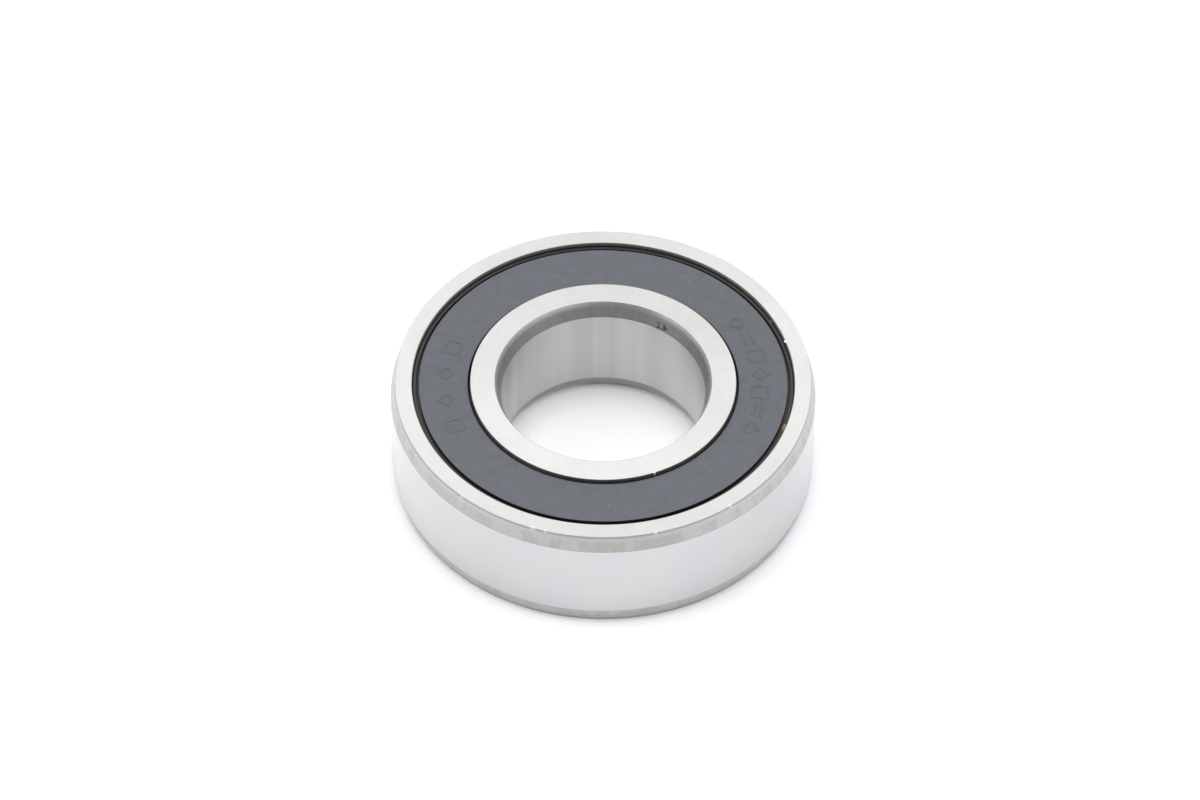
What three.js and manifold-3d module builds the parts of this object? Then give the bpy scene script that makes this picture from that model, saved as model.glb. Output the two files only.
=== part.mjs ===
// Sealed single-row deep groove ball bearing, 25 mm bore, 52 mm outside diameter, 15 mm wide.
//
// Two hardened rings hold nine balls between their raceways. A two-piece pressed steel cage, riveted
// between the balls, keeps them apart. A rubber seal with a steel insert snaps into a groove at each
// side of the outer ring and leaves a fine gap to the inner ring.
//
// Units are millimetres. The origin is the bearing's centre and +Z is its axis. Every section below is
// a closed outline of [radius, height] points, listed counter-clockwise, and is turned about +Z.

import * as THREE from "three";
import { mergeVertices } from "three/addons/utils/BufferGeometryUtils.js";
import Module from "manifold-3d";

// Boundary dimensions
const BORE_RADIUS = 12.5;
const OUTSIDE_RADIUS = 26;
const HALF_WIDTH = 7.5;
const OUTSIDE_CHAMFER = { radial: 0.58, axial: 2.12 };
const BORE_CHAMFER = { radial: 0.75, axial: 1.96 };

// Rolling set
const BALL_COUNT = 9;
const BALL_RADIUS = 3.969;
const PITCH_RADIUS = 19.52;
const RACEWAY_RADIUS = 1.04 * BALL_RADIUS;
const RACEWAY_CLEARANCE = 0.09;
const OUTER_LAND_RADIUS = 21.9;
const INNER_LAND_RADIUS = 17.15;

// Seal seats in the rings
const MOUTH_RADIUS = 23.36;
const GROOVE_RADIUS = 23.9;
const GROOVE_TOP = 6.5;
const GROOVE_FLOOR = 5.5;
const GROOVE_LEAD = 0.3;
const GROOVE_CORNER = 0.25;
const INNER_SEAT_RADIUS = 16.26;
const INNER_SEAT_FLOOR = 5.75;
const INNER_STEP_HEIGHT = 0.45;

// Rubber seal
const SEAL_FACE = 7.09;
const SEAL_INNER_RADIUS = 16.53;
const SEAL_FACE_OUTER_RADIUS = 22.6;
const SEAL_LIP_BOTTOM = 5.95;
const SEAL_LIP_WIDTH = 0.72;
const SEAL_SKIN = 0.47;
const CHANNEL_BOTTOM = 6.55;
const CHANNEL_OUTER_RADIUS = 22.93;
const BEAD_TOP = 6.95;
const SEAL_FIT = 0.07;

// Steel insert of the seal
const INSERT_THICKNESS = 0.4;
const INSERT_OUTER_RADIUS = 22.09;
const INSERT_FLANGE_BOTTOM = 5.66;
const INSERT_FIT = 0.06;

// Pressed cage
const CAGE_INNER_RADIUS = 17.9;
const CAGE_OUTER_RADIUS = 21.2;
const CAGE_SHEET = 0.7;
const CAGE_HALF_GAP = 0.05;
const POCKET_RADIUS = 4.24;

// Rivets
const RIVET_SHANK_RADIUS = 0.55;
const RIVET_HOLE_RADIUS = 0.65;
const RIVET_HEAD_RADIUS = 1.1;
const RIVET_HEAD_HEIGHT = 0.5;
const RIVET_FIT = 0.05;

// Facets around each round shape
const RING_SEGMENTS = 60;
const RACEWAY_STEPS = 6;
const BALL_SEGMENTS = 18;
const BALL_RINGS = 10;
const CAGE_SEGMENTS = 36;
const POCKET_SEGMENTS = 12;
const POCKET_RINGS = 8;
const RIVET_SEGMENTS = 8;
const RIVET_DOME_STEPS = 3;
const MERGE_DISTANCE = 1e-5;

const wasm = await Module();
wasm.setup();

const RING_STEEL = { color: 0xe3e2de, roughness: 0.32, metalness: 1 };
const BALL_STEEL = { color: 0xf0f0f0, roughness: 0.06, metalness: 1 };
const SHEET_STEEL = { color: 0xb9bab8, roughness: 0.38, metalness: 1 };
const RIVET_STEEL = { color: 0xc9c8c4, roughness: 0.3, metalness: 1 };
const SEAL_RUBBER = { color: 0x4b4e54, roughness: 0.62, metalness: 0 };

const bearing = new THREE.Group();

function addPart(name, geometry, finish, parent = bearing) {
  const mesh = new THREE.Mesh(geometry, new THREE.MeshStandardMaterial(finish));
  mesh.name = name;
  parent.add(mesh);
  return mesh;
}

// Turns an outline of [radius, height] points about +Z.
function turned(outline, segments) {
  const points = outline.map(([radius, height]) => new THREE.Vector2(radius, height));
  return new THREE.LatheGeometry(points, segments).rotateX(Math.PI / 2);
}

// A ring's section, closed on itself.
function turnedRing(outline, segments = RING_SEGMENTS) {
  return turned([...outline, outline[0]], segments);
}

// Points of the lower side, mirrored from the upper side's in reverse order.
function mirroredBelow(upper) {
  return upper.map(([radius, height]) => [radius, -height]).reverse();
}

// Inner points of a raceway's arc about [centre, 0], between the land's two edges.
function racewayArc(centre, side, landRadius, fromTop) {
  const half = Math.acos(Math.abs(landRadius - centre) / RACEWAY_RADIUS);
  const points = [];
  for (let step = 1; step < RACEWAY_STEPS; step += 1) {
    const angle = half * (1 - (2 * step) / RACEWAY_STEPS) * (fromTop ? 1 : -1);
    points.push([
      centre + side * RACEWAY_RADIUS * Math.cos(angle),
      RACEWAY_RADIUS * Math.sin(angle),
    ]);
  }
  return points;
}

// Height at which a raceway's arc meets its land.
function racewayEdge(centre, landRadius) {
  return Math.sqrt(RACEWAY_RADIUS ** 2 - (landRadius - centre) ** 2);
}

function outerRing() {
  const centre = PITCH_RADIUS + BALL_RADIUS + RACEWAY_CLEARANCE - RACEWAY_RADIUS;
  const upper = [
    [OUTSIDE_RADIUS, HALF_WIDTH - OUTSIDE_CHAMFER.axial],
    [OUTSIDE_RADIUS - OUTSIDE_CHAMFER.radial, HALF_WIDTH],
    [MOUTH_RADIUS, HALF_WIDTH],
    [MOUTH_RADIUS, GROOVE_TOP],
    [GROOVE_RADIUS, GROOVE_TOP - GROOVE_LEAD],
    [GROOVE_RADIUS, GROOVE_FLOOR + GROOVE_CORNER],
    [GROOVE_RADIUS - GROOVE_CORNER, GROOVE_FLOOR],
    [OUTER_LAND_RADIUS, GROOVE_FLOOR],
    [OUTER_LAND_RADIUS, racewayEdge(centre, OUTER_LAND_RADIUS)],
  ];
  const raceway = racewayArc(centre, 1, OUTER_LAND_RADIUS, true);
  return turnedRing([...upper, ...raceway, ...mirroredBelow(upper)]);
}

function innerRing() {
  const centre = PITCH_RADIUS - BALL_RADIUS - RACEWAY_CLEARANCE + RACEWAY_RADIUS;
  const upper = [
    [INNER_LAND_RADIUS, racewayEdge(centre, INNER_LAND_RADIUS)],
    [INNER_LAND_RADIUS, INNER_SEAT_FLOOR - INNER_STEP_HEIGHT],
    [INNER_SEAT_RADIUS, INNER_SEAT_FLOOR],
    [INNER_SEAT_RADIUS, HALF_WIDTH],
    [BORE_RADIUS + BORE_CHAMFER.radial, HALF_WIDTH],
    [BORE_RADIUS, HALF_WIDTH - BORE_CHAMFER.axial],
  ];
  const raceway = racewayArc(centre, -1, INNER_LAND_RADIUS, false);
  return turnedRing([...upper, ...mirroredBelow(upper), ...raceway]);
}

// The rubber skin covers the insert's outer face, with a lip at the inner ring and a snap rim in the
// outer ring's groove. A narrow channel parts the face from the rim's bead.
function sealRubber() {
  const beadOuter = MOUTH_RADIUS - SEAL_FIT;
  const rimOuter = GROOVE_RADIUS - SEAL_FIT;
  const rimBottom = GROOVE_FLOOR + SEAL_FIT;
  const skinBottom = SEAL_FACE - SEAL_SKIN;
  return turnedRing([
    [rimOuter - GROOVE_CORNER, rimBottom],
    [rimOuter, rimBottom + GROOVE_CORNER],
    [rimOuter, GROOVE_TOP - GROOVE_LEAD - SEAL_FIT],
    [beadOuter, GROOVE_TOP - SEAL_FIT],
    [beadOuter, BEAD_TOP],
    [CHANNEL_OUTER_RADIUS, BEAD_TOP],
    [CHANNEL_OUTER_RADIUS, CHANNEL_BOTTOM],
    [SEAL_FACE_OUTER_RADIUS, CHANNEL_BOTTOM],
    [SEAL_FACE_OUTER_RADIUS, SEAL_FACE],
    [SEAL_INNER_RADIUS, SEAL_FACE],
    [SEAL_INNER_RADIUS, SEAL_LIP_BOTTOM],
    [SEAL_INNER_RADIUS + SEAL_LIP_WIDTH, SEAL_LIP_BOTTOM],
    [SEAL_INNER_RADIUS + SEAL_LIP_WIDTH, skinBottom],
    [INSERT_OUTER_RADIUS + INSERT_FIT, skinBottom],
    [INSERT_OUTER_RADIUS + INSERT_FIT, rimBottom],
  ]);
}

// A washer with its outer edge bent down towards the balls.
function sealInsert() {
  const top = SEAL_FACE - SEAL_SKIN - INSERT_FIT;
  const innerRadius = SEAL_INNER_RADIUS + SEAL_LIP_WIDTH + INSERT_FIT;
  return turnedRing([
    [INSERT_OUTER_RADIUS - INSERT_THICKNESS, INSERT_FLANGE_BOTTOM],
    [INSERT_OUTER_RADIUS, INSERT_FLANGE_BOTTOM],
    [INSERT_OUTER_RADIUS, top],
    [innerRadius, top],
    [innerRadius, top - INSERT_THICKNESS],
    [INSERT_OUTER_RADIUS - INSERT_THICKNESS, top - INSERT_THICKNESS],
  ]);
}

function toSolid(geometry) {
  const bare = geometry.clone();
  bare.deleteAttribute("normal");
  bare.deleteAttribute("uv");
  const merged = mergeVertices(bare, MERGE_DISTANCE);
  return new wasm.Manifold(
    new wasm.Mesh({
      numProp: 3,
      vertProperties: Float32Array.from(merged.attributes.position.array),
      triVerts: Uint32Array.from(merged.index.array),
    }),
  );
}

function toGeometry(solid) {
  const mesh = solid.getMesh();
  const geometry = new THREE.BufferGeometry();
  geometry.setAttribute("position", new THREE.BufferAttribute(mesh.vertProperties, 3));
  geometry.setIndex(new THREE.BufferAttribute(mesh.triVerts, 1));
  geometry.computeVertexNormals();
  return geometry;
}

function ballAngle(index) {
  return Math.PI / 2 + (index * 2 * Math.PI) / BALL_COUNT;
}

function rivetAngle(index) {
  return ballAngle(index + 0.5);
}

// A copy of a shape made about +Z, moved out to the pitch circle at an angle.
function onPitchCircle(geometry, angle) {
  return geometry.clone().translate(PITCH_RADIUS, 0, 0).rotateZ(angle);
}

function pocketBall(radius) {
  return new THREE.SphereGeometry(radius, POCKET_SEGMENTS, POCKET_RINGS).rotateX(Math.PI / 2);
}

function allAround(geometry, angleOf) {
  const copies = Array.from({ length: BALL_COUNT }, (_, i) =>
    toSolid(onPitchCircle(geometry, angleOf(i))),
  );
  return copies.reduce((joined, copy) => joined.add(copy));
}

function cageBand(bottom, top) {
  const outline = [
    [CAGE_OUTER_RADIUS, bottom],
    [CAGE_OUTER_RADIUS, top],
    [CAGE_INNER_RADIUS, top],
    [CAGE_INNER_RADIUS, bottom],
  ];
  return toSolid(turnedRing(outline, CAGE_SEGMENTS));
}

// The upper half: a flat band at the rivets, pressed into a spherical pocket over each ball.
function cageHalf() {
  const bandTop = CAGE_HALF_GAP + CAGE_SHEET;
  const clearAbove = 2 * POCKET_RADIUS;
  const domes = allAround(pocketBall(POCKET_RADIUS + CAGE_SHEET), ballAngle);
  const pockets = allAround(pocketBall(POCKET_RADIUS), ballAngle);
  const hole = new THREE.CylinderGeometry(
    RIVET_HOLE_RADIUS,
    RIVET_HOLE_RADIUS,
    clearAbove,
    RIVET_SEGMENTS,
  ).rotateX(Math.PI / 2);
  const pressed = domes.intersect(cageBand(CAGE_HALF_GAP, clearAbove));
  return toGeometry(
    pressed
      .add(cageBand(CAGE_HALF_GAP, bandTop))
      .subtract(pockets)
      .subtract(allAround(hole, rivetAngle)),
  );
}

// A rivet with a domed head at each end, its section from pole to pole.
function rivet() {
  const under = CAGE_HALF_GAP + CAGE_SHEET + RIVET_FIT;
  const upper = [[RIVET_SHANK_RADIUS, under]];
  for (let step = 0; step < RIVET_DOME_STEPS; step += 1) {
    const angle = (step / RIVET_DOME_STEPS) * (Math.PI / 2);
    upper.push([
      RIVET_HEAD_RADIUS * Math.cos(angle),
      under + RIVET_HEAD_HEIGHT * Math.sin(angle),
    ]);
  }
  upper.push([0, under + RIVET_HEAD_HEIGHT]);
  return turned([...mirroredBelow(upper), ...upper], RIVET_SEGMENTS);
}

addPart("outer_ring", outerRing(), RING_STEEL);
addPart("inner_ring", innerRing(), RING_STEEL);

const ball = new THREE.SphereGeometry(BALL_RADIUS, BALL_SEGMENTS, BALL_RINGS);
for (let i = 0; i < BALL_COUNT; i += 1) {
  addPart(`ball_${i + 1}`, onPitchCircle(ball, ballAngle(i)), BALL_STEEL);
}

for (let i = 0; i < BALL_COUNT; i += 1) {
  addPart(`rivet_${i + 1}`, onPitchCircle(rivet(), rivetAngle(i)), RIVET_STEEL);
}

// Each lower piece is the upper one turned over about +Y, which keeps the ball at the +Y end in place.
for (const side of ["upper", "lower"]) {
  const group = new THREE.Group();
  group.rotation.y = side === "upper" ? 0 : Math.PI;
  bearing.add(group);
  addPart(`cage_${side}`, cageHalf(), SHEET_STEEL, group);
  addPart(`seal_${side}`, sealRubber(), SEAL_RUBBER, group);
  addPart(`seal_insert_${side}`, sealInsert(), SHEET_STEEL, group);
}

export default bearing;
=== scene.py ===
import math
from collections import namedtuple

import bmesh
import bpy
import numpy as np
from mathutils import Matrix, Vector


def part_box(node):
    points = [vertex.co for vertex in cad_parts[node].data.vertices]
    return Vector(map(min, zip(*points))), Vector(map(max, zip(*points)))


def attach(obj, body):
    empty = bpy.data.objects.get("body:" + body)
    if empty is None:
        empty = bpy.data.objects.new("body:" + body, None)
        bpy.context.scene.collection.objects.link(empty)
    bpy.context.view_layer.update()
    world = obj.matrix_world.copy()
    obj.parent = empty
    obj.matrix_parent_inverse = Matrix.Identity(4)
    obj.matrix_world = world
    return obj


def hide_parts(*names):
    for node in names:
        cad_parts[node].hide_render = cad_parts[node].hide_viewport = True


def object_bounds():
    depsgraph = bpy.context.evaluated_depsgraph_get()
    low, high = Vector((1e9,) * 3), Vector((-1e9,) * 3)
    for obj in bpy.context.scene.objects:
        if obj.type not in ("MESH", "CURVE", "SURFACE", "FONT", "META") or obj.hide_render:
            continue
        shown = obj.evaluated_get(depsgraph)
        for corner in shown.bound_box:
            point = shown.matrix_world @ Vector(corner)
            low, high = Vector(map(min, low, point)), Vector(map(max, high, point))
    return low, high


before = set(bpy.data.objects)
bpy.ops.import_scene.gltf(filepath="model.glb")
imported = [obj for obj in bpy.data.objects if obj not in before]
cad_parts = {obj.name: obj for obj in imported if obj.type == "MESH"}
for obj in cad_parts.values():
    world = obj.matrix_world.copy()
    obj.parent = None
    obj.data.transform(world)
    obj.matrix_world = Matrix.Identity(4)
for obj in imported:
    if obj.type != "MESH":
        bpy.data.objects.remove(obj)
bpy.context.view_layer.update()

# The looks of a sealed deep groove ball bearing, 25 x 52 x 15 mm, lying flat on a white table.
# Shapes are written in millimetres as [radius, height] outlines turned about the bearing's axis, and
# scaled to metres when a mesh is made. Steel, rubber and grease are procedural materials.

MM = 0.001

# ---------------------------------------------------------------- sizes, in millimetres

OUTSIDE_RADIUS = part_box("outer_ring")[1].x / MM
HALF_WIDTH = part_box("outer_ring")[1].z / MM
INNER_LAND_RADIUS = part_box("inner_ring")[1].x / MM
RIM_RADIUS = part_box("seal_upper")[1].x / MM
SEAL_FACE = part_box("seal_upper")[1].z / MM
CAGE_OUTER_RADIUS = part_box("cage_upper")[1].x / MM
BALL_RADIUS = 3.969
PITCH_RADIUS = 19.52
BALL_COUNT = 9

OUTSIDE_CHAMFER = (0.58, 2.12)
BORE_RADIUS = 12.5
BORE_CHAMFER_SIZE = (0.75, 1.96)
MOUTH_RADIUS = 23.36
GROOVE_RADIUS = 23.9
GROOVE_TOP = 6.5
GROOVE_FLOOR = 5.5
GROOVE_LEAD = 0.3
OUTER_LAND_RADIUS = 21.9
INNER_SEAT_RADIUS = 16.26
INNER_SEAT_FLOOR = 5.75
INNER_STEP_HEIGHT = 0.45
RACEWAY_RADIUS = 1.04 * BALL_RADIUS
RACEWAY_CLEARANCE = 0.03

SEAL_INNER_RADIUS = 16.53
SEAL_FACE_OUTER_RADIUS = 22.53
SEAL_LIP_BOTTOM = 5.95
SEAL_LIP_WIDTH = 0.72
SEAL_SKIN = 0.47
CHANNEL_BOTTOM = 6.5
CHANNEL_OUTER_RADIUS = 22.85
BEAD_TOP = 6.93
SEAL_FIT = 0.07
INSERT_THICKNESS = 0.4
INSERT_OUTER_RADIUS = 22.09
INSERT_FLANGE_BOTTOM = 5.66
INSERT_FIT = 0.06

CAGE_INNER_RADIUS = 17.9
CAGE_SHEET = 0.7
CAGE_HALF_GAP = 0.05
POCKET_RADIUS = 4.24
RIVET_SHANK_RADIUS = 0.55
RIVET_HEAD_RADIUS = 1.1
RIVET_HEAD_HEIGHT = 0.5
RIVET_HEAD_SEAT = 0.8
RIVET_HOLE_RADIUS = 0.65

HAIR_FILLET = 0.03
FINE_FILLET = 0.05
SMALL_FILLET = 0.08
ROOT_FILLET = 0.2
MOUTH_FILLET = 0.09
FACE_EDGE_FILLET = 0.06
CHAMFER_FILLET = 0.2
BORE_FILLET = 0.4
BEAD_FILLET = 0.1
SEAL_EDGE_FILLET = 0.07
INSERT_BEND = 0.35


# ---------------------------------------------------------------- camera

def make_camera(distance, elevation, aim_right, aim_up, roll, lens):
    """A camera at azimuth 0 that looks past the bearing's centre by aim_right and aim_up metres."""
    data = bpy.data.cameras.new("camera")
    data.lens = lens
    data.sensor_width = 36.0
    data.clip_start = 0.05
    data.clip_end = 20.0
    camera = bpy.data.objects.new("camera", data)
    bpy.context.scene.collection.objects.link(camera)
    back = Vector((0, -math.cos(elevation), math.sin(elevation)))
    right = Vector((1, 0, 0))
    up = back.cross(right)
    target = aim_right * right + aim_up * up
    camera.location = distance * back
    turn = (target - camera.location).to_track_quat("-Z", "Y")
    camera.rotation_mode = "QUATERNION"
    camera.rotation_quaternion = turn @ Matrix.Rotation(roll, 4, "Z").to_quaternion()
    bpy.context.scene.camera = camera
    return camera


make_camera(
    distance=0.702,
    elevation=math.radians(47.73),
    aim_right=-0.00038,
    aim_up=0.00267,
    roll=math.radians(0.424),
    lens=171.1,
)


# ---------------------------------------------------------------- mesh building

TINY = 1e-6
FILLET_STEPS = 5
FINE_FILLET_STEPS = 3
RACEWAY_STEPS = 24
FACE_EDGE_STEPS = 4
RING_COLUMNS = 640
SEAL_COLUMNS = 400
HIDDEN_COLUMNS = 240


def columns(count, *fine):
    """Angles round the axis, evenly spaced, with finer stretches. fine: (middle, half width, step)."""
    angles = list(np.linspace(0, 360, count, endpoint=False))
    room = 180 / count
    for middle, half, step in fine:
        angles = [a for a in angles if abs((a - middle + 180) % 360 - 180) > half + room]
        angles += list(np.arange(middle - half, middle + half + step / 2, step) % 360)
    return np.radians(np.array(sorted(angles)))


def rounded(corners, edge_zone=None):
    """A closed outline with rounded corners, as points and what lies between them.

    corners are (radius, height, fillet, zone), counter-clockwise; zone is the material of the stretch
    to the next corner, and of its fillet unless edge_zone is given. Each stretch is given back as its
    zone and its normal at each end.
    """
    points, spans = [], []
    places = np.array([corner[:2] for corner in corners], float)
    for i, (_, _, fillet, zone) in enumerate(corners):
        into = places[i] - places[i - 1]
        out = places[(i + 1) % len(corners)] - places[i]
        into /= np.linalg.norm(into)
        out /= np.linalg.norm(out)
        bend = math.atan2(into[0] * out[1] - into[1] * out[0], float(into @ out))
        first = math.atan2(-into[0], into[1])
        if fillet and abs(bend) > TINY:
            side = math.copysign(1.0, bend)
            start = np.array([math.cos(first), math.sin(first)])
            centre = places[i] - into * fillet * math.tan(abs(bend) / 2) - side * fillet * start
            steps = FILLET_STEPS if fillet > FINE_FILLET else FINE_FILLET_STEPS
            ways = [first + bend * step / steps for step in range(steps + 1)]
            ways = [np.array([math.cos(way), math.sin(way)]) for way in ways]
            for before, after in zip(ways, ways[1:]):
                points.append(centre + side * fillet * before)
                spans.append([zone if edge_zone is None else edge_zone, before, after])
            points.append(centre + side * fillet * ways[-1])
            spans.append([zone, ways[-1], ways[-1]])
        else:
            points.append(places[i])
            way = np.array([out[1], -out[0]])
            spans.append([zone, way, way])
    return np.array(points), spans


def turned(name, outline, angles, materials, change=None):
    """A mesh made by turning a closed outline about Z, with exact normals. See finished() for change."""
    section, spans = outline
    shape = (len(angles), len(section))
    points = swept(section, angles)
    here = np.arange(shape[0] * shape[1]).reshape(shape)
    ahead = np.roll(here, -1, axis=0)
    faces = np.stack([here, ahead, np.roll(ahead, -1, axis=1), np.roll(here, -1, axis=1)], axis=-1)
    start = np.array([span[1] for span in spans])
    end = np.array([span[2] for span in spans])
    later = np.roll(angles, -1)
    ends = [swept(start, angles), swept(start, later), swept(end, later), swept(end, angles)]
    normals = np.stack(ends, axis=2)
    zones = np.broadcast_to([span[0] for span in spans], shape)
    return finished(
        name,
        points.reshape(-1, 3),
        faces.reshape(-1, 4),
        normals.reshape(-1, 4, 3),
        zones.reshape(-1).copy(),
        materials,
        change,
    )


def swept(pairs, angles):
    """Turns each (radius, height) pair to each angle."""
    cos, sin = np.cos(angles)[:, None], np.sin(angles)[:, None]
    heights = np.broadcast_to(pairs[:, 1], (len(angles), len(pairs)))
    return np.stack([pairs[:, 0] * cos, pairs[:, 0] * sin, heights], axis=-1)


def finished(name, points, faces, normals, zones, materials, change=None):
    """Makes the object. change(points, faces, normals, zones) may alter any of them in place."""
    if change is not None:
        change(points, faces, normals, zones)
    mesh = bpy.data.meshes.new(name)
    mesh.from_pydata((points * MM).tolist(), [], faces.tolist())
    mesh.polygons.foreach_set("material_index", zones.astype(np.int32))
    mesh.shade_smooth()
    mesh.normals_split_custom_set(normals.reshape(-1, 3).tolist())
    return new_piece(name, mesh, materials)


def new_piece(name, mesh, materials):
    for material in materials:
        mesh.materials.append(material)
    piece = bpy.data.objects.new(name, mesh)
    bpy.context.scene.collection.objects.link(piece)
    return piece


def flat_normals(points, faces):
    corner = points[faces]
    flat = np.cross(corner[:, 2] - corner[:, 0], corner[:, 3] - corner[:, 1])
    return flat / np.maximum(np.linalg.norm(flat, axis=1, keepdims=True), 1e-12)


def mirrored_below(upper):
    """The lower side's corners: the upper side's in reverse, each with the zone of the stretch after it."""
    flipped = []
    for i in range(len(upper) - 1, -1, -1):
        zone = upper[i - 1][3] if i else None
        flipped.append([upper[i][0], -upper[i][1], upper[i][2], zone])
    return flipped


def raceway_arc(centre, side, land_radius, zone):
    """Points of a raceway between its lands: from top to bottom for side 1, and up for side -1."""
    half = math.acos(abs(land_radius - centre) / RACEWAY_RADIUS)
    corners = []
    for step in range(1, RACEWAY_STEPS):
        a = side * half * (1 - 2 * step / RACEWAY_STEPS)
        radius = centre + side * RACEWAY_RADIUS * math.cos(a)
        corners.append([radius, RACEWAY_RADIUS * math.sin(a), 0, zone])
    return corners


def between(first, last, steps):
    """Extra unrounded corners on a straight stretch, so that the mesh is fine enough there."""
    start, end = np.array([first[:2], last[:2]])
    return [[*(start + (end - start) * step / steps), 0, first[3]] for step in range(1, steps)]


def turned_over(piece):
    """Turns a finished piece over about Y, for the underside."""
    piece.data.transform(Matrix.Rotation(math.pi, 4, "Y"))
    return piece


def stands_for(piece, node, body):
    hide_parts(node)
    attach(piece, body)
    return piece


def polar(points):
    """Radius and angle in degrees of each point."""
    return np.hypot(points[:, 0], points[:, 1]), np.degrees(np.arctan2(points[:, 1], points[:, 0]))


def angle_from(angles, middle):
    return (angles - middle + 180) % 360 - 180


# ---------------------------------------------------------------- node helpers

def new_material(name):
    material = bpy.data.materials.new(name)
    material.use_nodes = True
    tree = material.node_tree
    tree.nodes.clear()
    output = tree.nodes.new("ShaderNodeOutputMaterial")
    shader = tree.nodes.new("ShaderNodeBsdfPrincipled")
    tree.links.new(shader.outputs["BSDF"], output.inputs["Surface"])
    return material, tree, shader


def put(tree, socket, value):
    """Links a socket to value if value is an output socket, or else sets it."""
    if isinstance(value, bpy.types.NodeSocket):
        tree.links.new(value, socket)
    else:
        socket.default_value = value


def maths(tree, operation, *values):
    node = tree.nodes.new("ShaderNodeMath")
    node.operation = operation
    for socket, value in zip(node.inputs, values):
        put(tree, socket, value)
    return node.outputs["Value"]


def vector_maths(tree, operation, output, *values):
    node = tree.nodes.new("ShaderNodeVectorMath")
    node.operation = operation
    for socket, value in zip(node.inputs, values):
        put(tree, socket, value)
    return node.outputs[output]


def times(tree, a, b):
    return maths(tree, "MULTIPLY", a, b)


def plus(tree, a, b):
    return maths(tree, "ADD", a, b)


def remap(tree, value, low, high, to_low=0.0, to_high=1.0, soft=False):
    node = tree.nodes.new("ShaderNodeMapRange")
    node.interpolation_type = "SMOOTHSTEP" if soft else "LINEAR"
    for name, item in (("From Min", low), ("From Max", high), ("To Min", to_low), ("To Max", to_high)):
        put(tree, node.inputs[name], item)
    put(tree, node.inputs["Value"], value)
    return node.outputs["Result"]


def from_noise(tree, value, to_low=0.0, to_high=1.0):
    """Stretches the range that a noise mostly keeps to."""
    return remap(tree, value, 0.35, 0.65, to_low, to_high)


def from_wide_noise(tree, value, to_low=0.0, to_high=1.0):
    """The same, with less contrast."""
    return remap(tree, value, 0.3, 0.7, to_low, to_high)


def mix_colours(tree, factor, a, b):
    node = tree.nodes.new("ShaderNodeMix")
    node.data_type = "RGBA"
    sockets = {socket.identifier: socket for socket in node.inputs}
    put(tree, sockets["Factor_Float"], factor)
    put(tree, sockets["A_Color"], a)
    put(tree, sockets["B_Color"], b)
    return {socket.identifier: socket for socket in node.outputs}["Result_Color"]


def noise(tree, where, scale=1.0, detail=2.0, roughness=0.5):
    node = tree.nodes.new("ShaderNodeTexNoise")
    put(tree, node.inputs["Vector"], where)
    node.inputs["Scale"].default_value = scale
    node.inputs["Detail"].default_value = detail
    node.inputs["Roughness"].default_value = roughness
    return node.outputs["Fac"]


def bump(tree, height, depth):
    """depth is the height in millimetres that a value of 1 stands for."""
    node = tree.nodes.new("ShaderNodeBump")
    node.inputs["Distance"].default_value = depth * MM
    put(tree, node.inputs["Height"], height)
    return node.outputs["Normal"]


def vector(tree, x, y, z):
    node = tree.nodes.new("ShaderNodeCombineXYZ")
    for socket, value in zip(node.inputs, (x, y, z)):
        put(tree, socket, value)
    return node.outputs["Vector"]


def place(tree):
    """Where a point is, in millimetres, with its radius and its unit way out from the axis."""
    coordinates = tree.nodes.new("ShaderNodeTexCoord").outputs["Object"]
    scaled = tree.nodes.new("ShaderNodeVectorMath")
    scaled.operation = "SCALE"
    tree.links.new(coordinates, scaled.inputs[0])
    scaled.inputs["Scale"].default_value = 1 / MM
    parts = tree.nodes.new("ShaderNodeSeparateXYZ")
    tree.links.new(scaled.outputs["Vector"], parts.inputs["Vector"])
    x, y, z = parts.outputs
    radius = maths(tree, "SQRT", plus(tree, times(tree, x, x), times(tree, y, y)))
    return {
        "point": scaled.outputs["Vector"],
        "x": x,
        "y": y,
        "z": z,
        "radius": radius,
        "out_x": maths(tree, "DIVIDE", x, radius),
        "out_y": maths(tree, "DIVIDE", y, radius),
    }


def wrapped(tree, at, around, across):
    """Coordinates for a noise by how fast it changes round the axis, and across that.

    Rings left by turning are slow round the axis and fast across. Upright streaks are the opposite.
    """
    height = times(tree, plus(tree, at["radius"], at["z"]), across)
    return vector(tree, times(tree, at["out_x"], around), times(tree, at["out_y"], around), height)


def tint(colour, gain, warm=0.0):
    """colour times gain, shifted towards yellow by warm, or to blue if warm is negative."""
    red, green, blue = (channel * gain for channel in colour[:3])
    return (min(1.0, red * (1 + warm)), min(1.0, green), min(1.0, blue * (1 - warm)), 1.0)


# ---------------------------------------------------------------- steel

STEEL = (0.6, 0.597, 0.59)
ETCHED_COLOUR = (0.13, 0.125, 0.115, 1)
MARKS_RUN_ROUND = 0.25
RIM_BLUR = 0.03
# How fully a side painted lighter covers the steel's own tone.
PAINTED_SIDE_SHARE = 0.8

# The darkest and the lightest tone of each finish, as shares of the steel's gain.
GROUND_TONES = (0.845, 1.125)
BORE_TONES = (0.91, 1.05)
PRESSED_TONES = (0.85, 1.0)

# A strip of painted light and shade on a chamfer next to the side face, in millimetres of height; gain is
# its brightness.
Band = namedtuple("Band", "low high blur ragged gain")


def start_steel(name, anisotropy):
    """A metal shader whose fine marks run round the axis, and the point that it shades."""
    material, tree, shader = new_material(name)
    shader.inputs["Metallic"].default_value = 1.0
    shader.inputs["Anisotropic"].default_value = anisotropy
    shader.inputs["Anisotropic Rotation"].default_value = MARKS_RUN_ROUND
    tangent = tree.nodes.new("ShaderNodeTangent")
    tangent.direction_type = "RADIAL"
    tangent.axis = "Z"
    tree.links.new(tangent.outputs["Tangent"], shader.inputs["Tangent"])
    return material, tree, shader, place(tree)


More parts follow.
